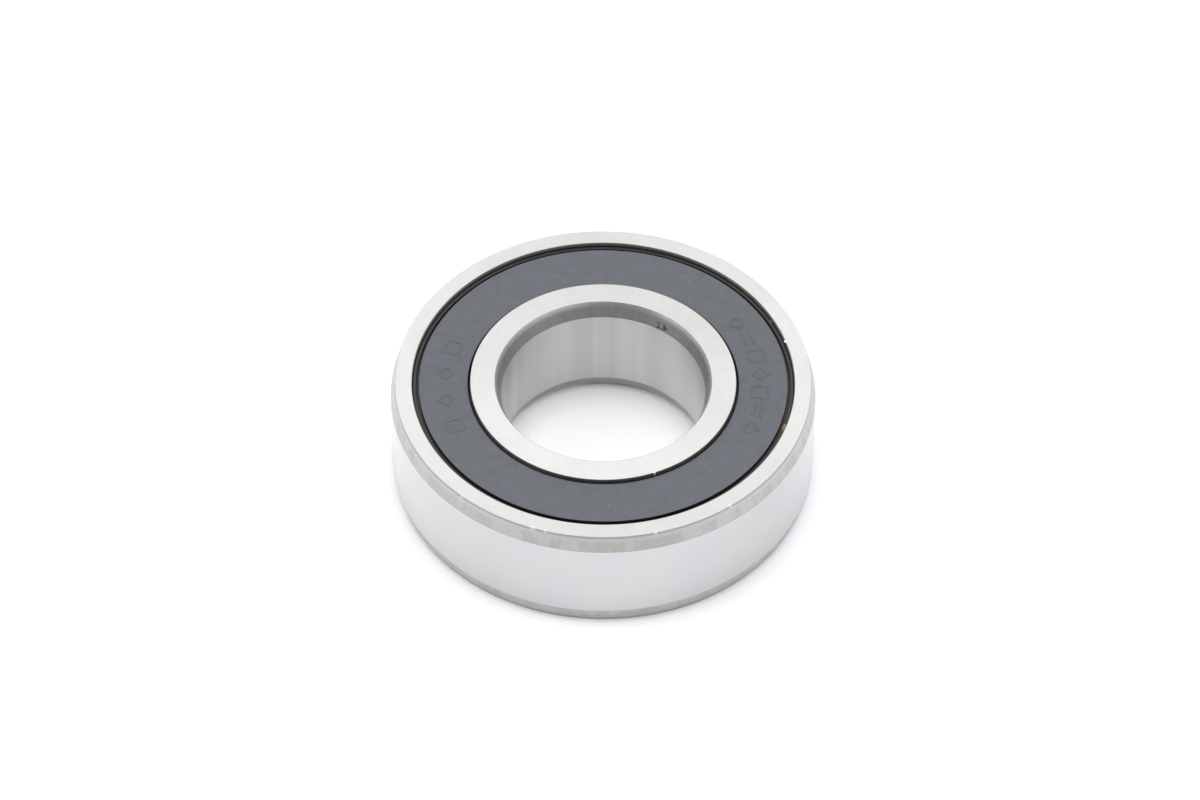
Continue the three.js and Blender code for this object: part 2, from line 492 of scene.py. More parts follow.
def toned(tree, shade, gain, tones, warm=0.0):
    """The colour of steel, from the darker of two tones to the lighter as shade goes from 0 to 1."""
    dark, light = tones
    return mix_colours(tree, shade, tint(STEEL, gain * dark, warm), tint(STEEL, gain * light, warm))


def roughen(tree, shader, pattern, rough, spread):
    """Makes the finish uneven: rough, give or take spread, where a noise pattern says so."""
    put(tree, shader.inputs["Roughness"], from_noise(tree, pattern, rough - spread, rough + spread))


def ground_steel(name, gain, rough, anisotropy, depth, painted_light_lean=(0.0, 0.0, 0.0)):
    """A side face from the grinder: fine rings, faint streaks across them, and a cloudy bloom.

    Its last argument paints light and shade round the ring, lighter or darker by how far out it is along x,
    along y, and across y.
    """
    material, tree, shader, at = start_steel(name, anisotropy)
    rings = noise(tree, wrapped(tree, at, around=4.0, across=9.0), detail=3.0, roughness=0.6)
    streaks = noise(tree, wrapped(tree, at, around=30.0, across=0.15), detail=3.0, roughness=0.6)
    cloud = noise(tree, wrapped(tree, at, around=2.2, across=0.12), detail=3.0, roughness=0.6)
    fine = noise(tree, wrapped(tree, at, around=12.0, across=2.2), detail=4.0, roughness=0.7)
    shade = from_noise(tree, plus(tree, times(tree, cloud, 0.6), times(tree, fine, 0.4)), 0.34, 0.66)
    # Painted light and shade: the ring's tone is lighter on some sides and darker on others.
    along_x, along_y, across = painted_light_lean
    shade = plus(tree, shade, times(tree, at["out_x"], along_x))
    shade = plus(tree, shade, times(tree, at["out_y"], along_y))
    uneven = maths(tree, "SUBTRACT", 0.5, times(tree, at["out_y"], at["out_y"]))
    shade = plus(tree, shade, times(tree, uneven, 2 * across))
    put(tree, shader.inputs["Base Color"], toned(tree, shade, gain, GROUND_TONES))
    worn = plus(tree, times(tree, rings, 0.5), times(tree, streaks, 0.5))
    roughen(tree, shader, worn, rough, spread=0.035)
    put(tree, shader.inputs["Normal"], bump(tree, rings, depth))
    return material


def honed_steel(name, pink, blue, left, rough):
    """The superfinished outside: almost a mirror, with pale pink and blue clouds.

    The side towards -X fades to the left colour: lighter and warmer, painted in as a brighter reflection
    there.
    """
    material, tree, shader, at = start_steel(name, 0.3)
    cloud = noise(tree, wrapped(tree, at, around=3.2, across=0.12), detail=3.0, roughness=0.6)
    streaks = noise(tree, wrapped(tree, at, around=40.0, across=0.1), detail=2.0)
    lines = noise(tree, wrapped(tree, at, around=3.0, across=16.0), detail=2.0)
    shade = remap(tree, cloud, 0.38, 0.62, soft=True)
    clouded = mix_colours(tree, shade, tint(blue, 1.0), tint(pink, 1.0))
    fine = from_wide_noise(tree, lines, 0.0, 0.35)
    # Painted reflection: the side towards -X is lighter and warmer.
    painted_left_share = remap(tree, at["out_x"], -0.5, -0.85, 0.0, PAINTED_SIDE_SHARE)
    clouded = mix_colours(tree, painted_left_share, clouded, tint(left, 1.0))
    put(tree, shader.inputs["Base Color"], mix_colours(tree, fine, clouded, tint(blue, 0.93)))
    worn = plus(tree, times(tree, lines, 0.6), times(tree, streaks, 0.4))
    roughen(tree, shader, worn, rough, spread=0.03)
    return material


def chamfer_steel(name, gain, rough, patchiness, depth, bands=()):
    """A turned chamfer left as hardened: dull, in patches with upright edges, a little yellow. Its bands
    are painted light and shade.
    """
    material, tree, shader, at = start_steel(name, 0.45)
    patches = noise(tree, wrapped(tree, at, around=13.0, across=0.2), detail=3.0, roughness=0.6)
    fine = noise(tree, at["point"], scale=1.6, detail=5.0, roughness=0.7)
    grooves = noise(tree, wrapped(tree, at, around=3.0, across=7.0), detail=3.0)
    bright = remap(tree, patches, 0.46, 0.53)
    cloudy = from_noise(tree, fine)
    dull = mix_colours(tree, cloudy, tint(STEEL, gain * (1 - patchiness), 0.025), tint(STEEL, gain, 0.012))
    paint = mix_colours(tree, bright, dull, tint(STEEL, gain * (1 + patchiness * 0.5)))
    height = maths(tree, "ABSOLUTE", at["z"])
    uneven_height = plus(tree, height, times(tree, plus(tree, patches, -0.5), 0.9))
    # Each band paints a strip of light and shade over the chamfer.
    for band in bands:
        start = uneven_height if band.ragged else height
        above = remap(tree, start, band.low - band.blur, band.low + band.blur)
        below = remap(tree, height, band.high - RIM_BLUR, band.high + RIM_BLUR, 1.0, 0.0)
        paint = mix_colours(tree, times(tree, above, below), paint, tint(STEEL, gain * band.gain, 0.01))
    put(tree, shader.inputs["Base Color"], paint)
    put(tree, shader.inputs["Roughness"], from_wide_noise(tree, fine, rough - 0.04, rough + 0.06))
    put(tree, shader.inputs["Normal"], bump(tree, grooves, depth))
    return material


def bore_steel(name, gain, warm, rough):
    """The ground bore: soft upright bands painted in as reflections, a painted brighter side towards +X,
    and almost no rings.
    """
    material, tree, shader, at = start_steel(name, 0.35)
    # Painted reflections: soft upright bands of lighter and darker steel.
    bands = noise(tree, wrapped(tree, at, around=4.5, across=0.0), detail=1.5, roughness=0.5)
    lines = noise(tree, wrapped(tree, at, around=3.0, across=14.0), detail=2.0)
    shade = remap(tree, bands, 0.35, 0.65, soft=True)
    paint = toned(tree, shade, gain, BORE_TONES, warm)
    # Painted light: the side towards +X is brighter.
    painted_right_light = remap(tree, at["out_x"], 0.4, 0.7, 0.0, PAINTED_SIDE_SHARE)
    paint = mix_colours(tree, painted_right_light, paint, tint(STEEL, gain * 1.13, warm))
    put(tree, shader.inputs["Base Color"], paint)
    roughen(tree, shader, lines, rough, spread=0.03)
    return material


def along_way(tree, x, y, angle):
    """How far (x, y) reaches in the direction of an angle, in degrees."""
    a = math.radians(angle)
    return plus(tree, times(tree, x, math.cos(a)), times(tree, y, math.sin(a)))


def painted_over(material, share, colour):
    """Mixes a colour into what the shader's base colour already reads."""
    tree = material.node_tree
    shader = next(node for node in tree.nodes if node.type == "BSDF_PRINCIPLED")
    socket = shader.inputs["Base Color"]
    under = socket.links[0].from_socket
    tree.links.new(mix_colours(tree, share, under, colour), socket)


def painted_rim_highlight(material, low, high, gain, gap_angle=None):
    """Paints a highlight on a ring's steel: brighter upwards from height low to height high, less so near
    gap_angle.
    """
    tree = material.node_tree
    at = place(tree)
    shown = remap(tree, maths(tree, "ABSOLUTE", at["z"]), low, high)
    if gap_angle is not None:
        towards = along_way(tree, at["out_x"], at["out_y"], gap_angle)
        shown = times(tree, shown, remap(tree, towards, 0.9, 1.0, 1.0, 0.3))
    painted_over(material, shown, tint(STEEL, gain))


def etched(material, angle, height, width, tall):
    """Darkens a small cluster of specks, as an acid stamp leaves, near one place on a ring."""
    tree = material.node_tree
    at = place(tree)
    facing = along_way(tree, at["x"], at["y"], angle)
    sideways = maths(tree, "DIVIDE", along_way(tree, at["x"], at["y"], angle + 90), width)
    upward = maths(tree, "DIVIDE", plus(tree, at["z"], -height), tall)
    spread = maths(tree, "SQRT", plus(tree, times(tree, sideways, sideways), times(tree, upward, upward)))
    inside = times(tree, remap(tree, spread, 0.7, 1.1, 1.0, 0.0), maths(tree, "GREATER_THAN", facing, 0.0))
    specks = remap(tree, noise(tree, at["point"], scale=2.6), 0.5, 0.56)
    painted_over(material, times(tree, inside, specks), ETCHED_COLOUR)


# Each face gets painted light and shade round the ring: lighter and darker sides.
outer_face = ground_steel(
    "outer_face_steel", gain=0.905, rough=0.2, anisotropy=0.3, depth=0.0003, painted_light_lean=(-0.02, 0.0, 0.17)
)
inner_face = ground_steel(
    "inner_face_steel", gain=0.9, rough=0.2, anisotropy=0.3, depth=0.0003, painted_light_lean=(-0.07, -0.26, 0.0)
)
# The left colour is a painted reflection: lighter and warmer towards -X.
outside = honed_steel(
    "honed_steel",
    pink=(0.58, 0.562, 0.554),
    blue=(0.553, 0.553, 0.563),
    left=(0.66, 0.638, 0.613),
    rough=0.2,
)
# Along the top of the outside chamfer: a ragged light strip as painted reflection, and a dark strip just
# under the edge as painted shade.
chamfer_painted_bands = (
    Band(low=6.7, high=7.22, blur=0.2, ragged=True, gain=1.08),
    Band(low=7.24, high=7.6, blur=0.04, ragged=False, gain=0.8),
)
outside_chamfer = chamfer_steel(
    "chamfer_steel", gain=0.81, rough=0.42, patchiness=0.11, depth=0.002, bands=chamfer_painted_bands
)
bore_chamfer = chamfer_steel("bore_chamfer_steel", gain=0.68, rough=0.36, patchiness=0.08, depth=0.001)
# A painted highlight along the top of the bore chamfer.
painted_rim_highlight(bore_chamfer, low=6.75, high=7.45, gain=1.5, gap_angle=80.0)
etched(bore_chamfer, angle=56.0, height=6.0, width=1.1, tall=0.5)
bore = bore_steel("bore_steel", gain=0.925, warm=0.018, rough=0.36)
# Fillets get a darker copy of the face steel: painted shade that keeps their highlights faint.
edge = ground_steel("shaded_edge_steel", gain=0.55, rough=0.35, anisotropy=0.2, depth=0.0003)
seat = ground_steel("seat_steel", gain=0.75, rough=0.4, anisotropy=0.5, depth=0.002)
# The wall above the seal is painted dark: painted shade in that recess.
shaded_mouth_wall = ground_steel("shaded_mouth_steel", gain=0.42, rough=0.4, anisotropy=0.5, depth=0.001)
# A painted highlight along the top of the mouth wall.
painted_rim_highlight(shaded_mouth_wall, low=6.95, high=7.3, gain=1.5)
raceway = ground_steel("raceway_steel", gain=1.15, rough=0.1, anisotropy=0.3, depth=0.0001)
chipped = chamfer_steel("chipped_steel", gain=1.0, rough=0.5, patchiness=0.05, depth=0.01)

RING_MATERIALS = [
    outer_face, inner_face, outside, outside_chamfer, bore_chamfer, bore,
    edge, seat, shaded_mouth_wall, raceway, chipped,
]
OUTER_FACE, INNER_FACE, OUTSIDE, CHAMFER, BORE_CHAMFER, BORE = range(6)
EDGE, SEAT, MOUTH, RACEWAY, CHIPPED = range(6, 11)


def pressed_steel(name, gain, rough, depth):
    """Cold-rolled sheet or wire after pressing: satin, faintly mottled, with drawn scratches."""
    material, tree, shader = new_material(name)
    at = place(tree)
    mottle = noise(tree, at["point"], scale=1.6, detail=4.0, roughness=0.6)
    stretched = vector(tree, times(tree, at["x"], 0.6), times(tree, at["y"], 9.0), at["z"])
    scratches = noise(tree, stretched)
    put(tree, shader.inputs["Base Color"], toned(tree, from_wide_noise(tree, mottle), gain, PRESSED_TONES))
    shader.inputs["Metallic"].default_value = 1.0
    put(tree, shader.inputs["Roughness"], from_wide_noise(tree, mottle, rough - 0.05, rough + 0.07))
    put(tree, shader.inputs["Normal"], bump(tree, scratches, depth))
    return material


cage_steel = pressed_steel("cage_steel", gain=0.85, rough=0.34, depth=0.002)
rivet_steel = pressed_steel("rivet_steel", gain=0.95, rough=0.28, depth=0.001)
insert_steel = pressed_steel("insert_steel", gain=0.7, rough=0.4, depth=0.003)
ball_steel = pressed_steel("ball_steel", gain=1.25, rough=0.07, depth=0.00005)


# ---------------------------------------------------------------- rubber and grease

DUST_COLOUR = (0.34, 0.31, 0.27, 1)
DUST_CELLS = 1.1
RUBBER_GRAIN_DEPTH = 0.006
THIN_GREASE = (0.3, 0.17, 0.05, 1)
THICK_GREASE = (0.1, 0.045, 0.012, 1)


def moulded_rubber(name, colour, rough, dust):
    """Moulded nitrile rubber with a faint bloom and fine grain. dust is how strongly specks show."""
    material, tree, shader = new_material(name)
    at = place(tree)
    grain = noise(tree, at["point"], scale=14.0, detail=3.0, roughness=0.65)
    bloom = noise(tree, at["point"], scale=0.7, detail=6.0, roughness=0.72)
    paint = mix_colours(tree, from_wide_noise(tree, bloom), tint(colour, 0.87), tint(colour, 1.13, -0.01))
    if dust:
        cells = tree.nodes.new("ShaderNodeTexVoronoi")
        put(tree, cells.inputs["Vector"], at["point"])
        cells.inputs["Scale"].default_value = DUST_CELLS
        speck = remap(tree, cells.outputs["Distance"], 0.05, 0.12, 1.0, 0.0)
        parts = tree.nodes.new("ShaderNodeSeparateColor")
        tree.links.new(cells.outputs["Color"], parts.inputs["Color"])
        rare = maths(tree, "GREATER_THAN", parts.outputs["Red"], 0.5)
        shown = times(tree, times(tree, times(tree, speck, rare), parts.outputs["Green"]), dust)
        paint = mix_colours(tree, shown, paint, DUST_COLOUR)
    put(tree, shader.inputs["Base Color"], paint)
    put(tree, shader.inputs["Roughness"], from_wide_noise(tree, grain, rough - 0.05, rough + 0.08))
    put(tree, shader.inputs["Normal"], bump(tree, grain, RUBBER_GRAIN_DEPTH))
    return material


def grease_material():
    """Old amber grease, thin enough at its rim for light to come through."""
    material, tree, shader = new_material("amber_grease")
    at = place(tree)
    streaks = noise(tree, at["point"], scale=5.0, detail=3.0)
    paint = mix_colours(tree, from_noise(tree, streaks), THICK_GREASE, THIN_GREASE)
    put(tree, shader.inputs["Base Color"], paint)
    shader.inputs["Roughness"].default_value = 0.18
    shader.inputs["Subsurface Weight"].default_value = 0.5
    shader.inputs["Subsurface Radius"].default_value = (0.0006, 0.0003, 0.0001)
    put(tree, shader.inputs["Normal"], bump(tree, streaks, 0.03))
    return material


seal_rubber = moulded_rubber("seal_rubber", colour=(0.078, 0.0825, 0.097), rough=0.5, dust=0.6)
# The bead is dust-free and painted far darker than the seal's skin: painted shade in the recess.
shaded_bead_rubber = moulded_rubber("shaded_bead_rubber", colour=(0.008, 0.008, 0.009), rough=0.36, dust=0.0)
# The channel, lip and hidden parts are dust-free and painted near black: painted shade in the gaps.
clean_shaded_rubber = moulded_rubber("clean_shaded_rubber", colour=(0.01, 0.0105, 0.012), rough=0.45, dust=0.0)
amber_grease = grease_material()


# ---------------------------------------------------------------- rings

# A nick or a burr on an edge: its angle in degrees, its length and depth in millimetres.
Dent = namedtuple("Dent", "angle length depth")
EDGE_NICKS = (
    Dent(-131.5, 0.35, 0.04),
    Dent(-109.0, 0.6, 0.05),
    Dent(-105.5, 0.35, 0.04),
    Dent(-75.4, 0.4, 0.04),
    Dent(-52.8, 0.3, 0.04),
)
MOUTH_BURR = Dent(16.9, 0.5, 0.28)
LAND_BURR = Dent(-67.4, 0.3, 0.2)
NICK_ACROSS = 0.08
BURR_ACROSS = 0.09
SPOT_REACH = 1.6
SPOT_STEP = 0.12
INWARD = (-1.0, 0.0)
OUTWARD = (1.0, 0.0)
INTO_CORNER = (-0.6, -0.8)
PUSHED_AT_ALL = 0.02

# Widths of the strips of finer mesh beside an edge that has nicks or a burr.
NICK_STRIP = 0.3
BURR_STRIP = 0.4


def fine_spots(*dents):
    """A finer stretch of columns round each dent, as columns() takes them."""
    return [(dent.angle, SPOT_REACH, SPOT_STEP) for dent in dents]


def push(points, faces, normals, zones, corner, dent, across, way):
    """Pushes the mesh near one place on an edge. way is (outward, upward); pushed faces turn chipped."""
    radius, angles = polar(points)
    along = np.radians(angle_from(angles, dent.angle)) * corner[0]
    aside = np.hypot(radius - corner[0], points[:, 2] - corner[1])
    near_along = np.clip(1 - (along / (dent.length / 2)) ** 2, 0, 1)
    near_across = np.clip(1 - (aside / across) ** 2, 0, 1)
    weight = near_along * near_across
    out = points[:, :2] / radius[:, None]
    points[:, :2] += out * (weight * dent.depth * way[0])[:, None]
    points[:, 2] += weight * dent.depth * way[1]
    touched = (weight[faces] > PUSHED_AT_ALL).any(axis=1)
    normals[touched] = flat_normals(points, faces[touched])[:, None, :]
    zones[touched] = CHIPPED


def outer_ring():
    centre = PITCH_RADIUS + BALL_RADIUS + RACEWAY_CLEARANCE - RACEWAY_RADIUS
    land_edge = math.sqrt(RACEWAY_RADIUS ** 2 - (OUTER_LAND_RADIUS - centre) ** 2)
    radial, axial = OUTSIDE_CHAMFER
    chamfer_start = [OUTSIDE_RADIUS, HALF_WIDTH - axial, CHAMFER_FILLET, CHAMFER]
    face_start = [OUTSIDE_RADIUS - radial, HALF_WIDTH, HAIR_FILLET, OUTER_FACE]
    slope = NICK_STRIP / math.hypot(radial, axial)
    below_edge = [face_start[0] + slope * radial, face_start[1] - slope * axial, 0, CHAMFER]
    face_inside = [face_start[0] - NICK_STRIP, HALF_WIDTH, 0, OUTER_FACE]
    mouth = [MOUTH_RADIUS, HALF_WIDTH, MOUTH_FILLET, MOUTH]
    face_end = [MOUTH_RADIUS + BURR_STRIP, HALF_WIDTH, 0, OUTER_FACE]
    upper = [
        chamfer_start,
        below_edge,
        face_start,
        face_inside,
        face_end,
        *between(face_end, mouth, FACE_EDGE_STEPS),
        mouth,
        [MOUTH_RADIUS, GROOVE_TOP, HAIR_FILLET, SEAT],
        [GROOVE_RADIUS, GROOVE_TOP - GROOVE_LEAD, SMALL_FILLET, SEAT],
        [GROOVE_RADIUS, GROOVE_FLOOR, ROOT_FILLET, SEAT],
        [OUTER_LAND_RADIUS, GROOVE_FLOOR, SMALL_FILLET, SEAT],
        [OUTER_LAND_RADIUS, land_edge, 0, RACEWAY],
    ]
    lower = mirrored_below(upper)
    lower[-1][3] = OUTSIDE
    outline = rounded(upper + raceway_arc(centre, 1, OUTER_LAND_RADIUS, RACEWAY) + lower, EDGE)

    def wear(*mesh):
        for nick in EDGE_NICKS:
            push(*mesh, face_start, nick, NICK_ACROSS, INTO_CORNER)
        push(*mesh, mouth, MOUTH_BURR, BURR_ACROSS, INWARD)

    angles = columns(RING_COLUMNS, *fine_spots(*EDGE_NICKS, MOUTH_BURR))
    return turned("ring_outer", outline, angles, RING_MATERIALS, wear)


def inner_ring():
    centre = PITCH_RADIUS - BALL_RADIUS - RACEWAY_CLEARANCE + RACEWAY_RADIUS
    land_edge = math.sqrt(RACEWAY_RADIUS ** 2 - (INNER_LAND_RADIUS - centre) ** 2)
    radial, axial = BORE_CHAMFER_SIZE
    face_edge = [INNER_SEAT_RADIUS, HALF_WIDTH, FACE_EDGE_FILLET, INNER_FACE]
    face_inside = [INNER_SEAT_RADIUS - BURR_STRIP, HALF_WIDTH, 0, INNER_FACE]
    upper = [
        [INNER_LAND_RADIUS, land_edge, 0, SEAT],
        [INNER_LAND_RADIUS, INNER_SEAT_FLOOR - INNER_STEP_HEIGHT, SMALL_FILLET, SEAT],
        [INNER_SEAT_RADIUS, INNER_SEAT_FLOOR, SMALL_FILLET, SEAT],
        face_edge,
        *between(face_edge, face_inside, FACE_EDGE_STEPS),
        face_inside,
        [BORE_RADIUS + radial, HALF_WIDTH, FACE_EDGE_FILLET, BORE_CHAMFER],
        [BORE_RADIUS, HALF_WIDTH - axial, BORE_FILLET, BORE],
    ]
    lower = mirrored_below(upper)
    lower[-1][3] = RACEWAY
    outline = rounded(upper + lower + raceway_arc(centre, -1, INNER_LAND_RADIUS, RACEWAY), EDGE)

    def wear(*mesh):
        push(*mesh, face_edge, LAND_BURR, BURR_ACROSS, OUTWARD)

    angles = columns(RING_COLUMNS, *fine_spots(LAND_BURR))
    return turned("ring_inner", outline, angles, RING_MATERIALS, wear)


stands_for(outer_ring(), "outer_ring", "outer")
stands_for(inner_ring(), "inner_ring", "inner")


# ---------------------------------------------------------------- seals

SEAL_MATERIALS = [seal_rubber, clean_shaded_rubber, shaded_bead_rubber]
SKIN, CLEAN_SHADED, BEAD = range(3)

MARK_RADIUS = 19.3
MARK_HALF_HEIGHT = 0.95
MARK_HALF_WIDTH = 0.95
MARK_STROKE = 0.3
MARK_RISE = 0.11
MARK_EDGE = 0.13
MARK_STEP = 0.22
MARK_REACH = 1.25
MARK_LOOPS = 33
BAR_HALF_THICKNESS = 0.01
SLOPE_SPAN = 0.01


# Each shape gives the distance outside its outline; u runs round the seal and w across it.
def diamond(u, w):
    slant = math.hypot(1 / MARK_HALF_WIDTH, 1 / MARK_HALF_HEIGHT)
    return (np.abs(u) / MARK_HALF_WIDTH + np.abs(w) / MARK_HALF_HEIGHT - 1) / slant


def block(u, w):
    return np.maximum(np.abs(u) - MARK_HALF_WIDTH, np.abs(w) - MARK_HALF_HEIGHT)


def bars(u, w):
    from_bar = np.abs(np.abs(w) - MARK_HALF_HEIGHT / 2) - BAR_HALF_THICKNESS
    return np.maximum(from_bar, np.abs(u) - MARK_HALF_WIDTH)


# Plain shapes moulded in two rows. Angles are in degrees.
MarkRow = namedtuple("MarkRow", "middle pitch shapes")
MARK_ROWS = (
    MarkRow(5.0, 9.0, (diamond, bars, block, diamond, block, bars, diamond)),
    MarkRow(182.5, 13.0, (block, diamond, diamond, block)),
)


def relief(x, y):
    """How far the seal's skin stands proud, in millimetres."""
    radius = np.hypot(x, y)
    angles = np.degrees(np.arctan2(y, x))
    height = np.zeros_like(x)
    for row in MARK_ROWS:
        for k, shape in enumerate(row.shapes):
            turn = row.middle + row.pitch * (k - (len(row.shapes) - 1) / 2)
            u = np.radians(angle_from(angles, turn)) * MARK_RADIUS
            outline = np.abs(shape(u, radius - MARK_RADIUS)) - MARK_STROKE / 2
            ramp = np.clip(0.5 - outline / MARK_EDGE, 0, 1)
            height = np.maximum(height, MARK_RISE * ramp * ramp * (3 - 2 * ramp))
    return height


def raise_marks(points, faces, normals, zones):
    """Lifts the skin to its relief, and leans the normals to match."""
    radius, _ = polar(points)
    skin = (np.abs(points[:, 2] - SEAL_FACE) < TINY) & (np.abs(radius - MARK_RADIUS) < MARK_REACH)
    x, y = points[:, 0], points[:, 1]
    slope_x = (relief(x + SLOPE_SPAN, y) - relief(x - SLOPE_SPAN, y)) / (2 * SLOPE_SPAN)
    slope_y = (relief(x, y + SLOPE_SPAN) - relief(x, y - SLOPE_SPAN)) / (2 * SLOPE_SPAN)
    way = np.stack([-slope_x, -slope_y, np.ones_like(x)], axis=-1)
    way /= np.linalg.norm(way, axis=1, keepdims=True)
    points[:, 2] += np.where(skin, relief(x, y), 0)
    raised = skin[faces]
    normals[raised] = way[faces][raised]


def seal_outline():
    bead_outer = MOUTH_RADIUS - SEAL_FIT
    rim_bottom = GROOVE_FLOOR + SEAL_FIT
    skin_bottom = SEAL_FACE - SEAL_SKIN
    shelf = INSERT_OUTER_RADIUS + INSERT_FIT
    marks_start = [MARK_RADIUS + MARK_REACH, SEAL_FACE, 0, SKIN]
    marks_end = [MARK_RADIUS - MARK_REACH, SEAL_FACE, 0, SKIN]
    lip_outer = SEAL_INNER_RADIUS + SEAL_LIP_WIDTH
    return rounded([
        [RIM_RADIUS, rim_bottom, ROOT_FILLET, CLEAN_SHADED],
        [RIM_RADIUS, GROOVE_TOP - GROOVE_LEAD - SEAL_FIT, SMALL_FILLET, CLEAN_SHADED],
        [bead_outer, GROOVE_TOP - SEAL_FIT, HAIR_FILLET, CLEAN_SHADED],
        [bead_outer, BEAD_TOP, BEAD_FILLET, BEAD],
        [CHANNEL_OUTER_RADIUS, BEAD_TOP, BEAD_FILLET, CLEAN_SHADED],
        [CHANNEL_OUTER_RADIUS, CHANNEL_BOTTOM, FINE_FILLET, CLEAN_SHADED],
        [SEAL_FACE_OUTER_RADIUS, CHANNEL_BOTTOM, FINE_FILLET, CLEAN_SHADED],
        [SEAL_FACE_OUTER_RADIUS, SEAL_FACE, SEAL_EDGE_FILLET, SKIN],
        marks_start,
        *between(marks_start, marks_end, MARK_LOOPS),
        marks_end,
        [SEAL_INNER_RADIUS, SEAL_FACE, SMALL_FILLET, CLEAN_SHADED],
        [SEAL_INNER_RADIUS, SEAL_LIP_BOTTOM, SMALL_FILLET, CLEAN_SHADED],
        [lip_outer, SEAL_LIP_BOTTOM, FINE_FILLET, CLEAN_SHADED],
        [lip_outer, skin_bottom, FINE_FILLET, CLEAN_SHADED],
        [shelf, skin_bottom, FINE_FILLET, CLEAN_SHADED],
        [shelf, rim_bottom, FINE_FILLET, CLEAN_SHADED],
    ])


def insert_outline():
    top = SEAL_FACE - SEAL_SKIN - INSERT_FIT
    inner = SEAL_INNER_RADIUS + SEAL_LIP_WIDTH + INSERT_FIT
    flange = INSERT_OUTER_RADIUS - INSERT_THICKNESS
    return rounded([
        [flange, INSERT_FLANGE_BOTTOM, FINE_FILLET, 0],
        [INSERT_OUTER_RADIUS, INSERT_FLANGE_BOTTOM, FINE_FILLET, 0],
        [INSERT_OUTER_RADIUS, top, INSERT_BEND, 0],
        [inner, top, FINE_FILLET, 0],
        [inner, top - INSERT_THICKNESS, FINE_FILLET, 0],
        [flange, top - INSERT_THICKNESS, SMALL_FILLET, 0],
    ])


mark_sectors = [(row.middle, row.pitch * len(row.shapes) / 2 + 1, MARK_STEP) for row in MARK_ROWS]
for side in ("upper", "lower"):
    angles = columns(SEAL_COLUMNS, *mark_sectors)
    seal = turned(f"seal_rubber_{side}", seal_outline(), angles, SEAL_MATERIALS, raise_marks)
    washer = turned(f"seal_washer_{side}", insert_outline(), columns(HIDDEN_COLUMNS), [insert_steel])
    if side == "lower":
        turned_over(seal)
        turned_over(washer)
    stands_for(seal, "seal_" + side, "outer")
    stands_for(washer, "seal_insert_" + side, "outer")


# ---------------------------------------------------------------- balls

BALL_CUTS = 19
GREASE_CUTS = 7
GREASE_WOBBLE = 0.12
START_ANGLE = math.pi / 2
SECTOR = 2 * math.pi / BALL_COUNT


def on_pitch_circle(turn):
    """A place on the circle through the balls' middles, in metres."""
    return Vector((math.cos(turn), math.sin(turn), 0)) * PITCH_RADIUS * MM


def cube_sphere(name, radius, cuts, materials, stretch=(1, 1, 1), wobble=0.0):
    """A round body of even quads. stretch scales it along x, y and z; wobble makes it lumpy."""
    mesh = bpy.data.meshes.new(name)
    shape = bmesh.new()
    bmesh.ops.create_cube(shape, size=2.0)
    bmesh.ops.subdivide_edges(shape, edges=shape.edges[:], cuts=cuts, use_grid_fill=True)
    for vert in shape.verts:
        even = Vector([math.tan(c * math.pi / 4) for c in vert.co]).normalized()
        lump = 1 + wobble * math.sin(7 * even.x + 3 * even.z) * math.cos(5 * even.y + 1)
        vert.co = Vector([c * s for c, s in zip(even, stretch)]) * (radius * MM * lump)
    shape.to_mesh(mesh)
    shape.free()
    mesh.shade_smooth()
    return new_piece(name, mesh, materials)


for k in range(BALL_COUNT):
    ball = cube_sphere(f"ball_steel_{k + 1}", BALL_RADIUS, BALL_CUTS, [ball_steel])
    ball.location = on_pitch_circle(START_ANGLE + k * SECTOR)
    stands_for(ball, f"ball_{k + 1}", f"ball_{k + 1}")


# ---------------------------------------------------------------- cage and rivets

POCKET_STEPS = 36
LAND_STEPS = 10
CAGE_ROWS = 12
POCKET_BLEND = 0.25
DRILL_SEGMENTS = 32
DRILL_LENGTH = 4
DOME_STEPS = 10
RIVET_COLUMNS = 40
HEAD_LIP = 0.1
HEAD_UNDERCUT = 0.03
CRISP_ANGLE = math.radians(40)
MERGE_DISTANCE = 1e-7


def blended_max(a, b, blend):
    """The higher of two heights, with the crease between them rounded over."""
    part = np.clip(0.5 + 0.5 * (b - a) / blend, 0, 1)
    return a + (b - a) * part + blend * part * (1 - part)


def sheet_height(distance, pocket_radius, land_height):
    """Height of one side of the sheet, at a distance in plan from the nearest ball's middle."""
    dome = np.sqrt(np.maximum(pocket_radius ** 2 - distance ** 2, 0))
    dome = np.where(distance > pocket_radius, 2 * (pocket_radius - distance), dome)
    return blended_max(land_height, dome, POCKET_BLEND)


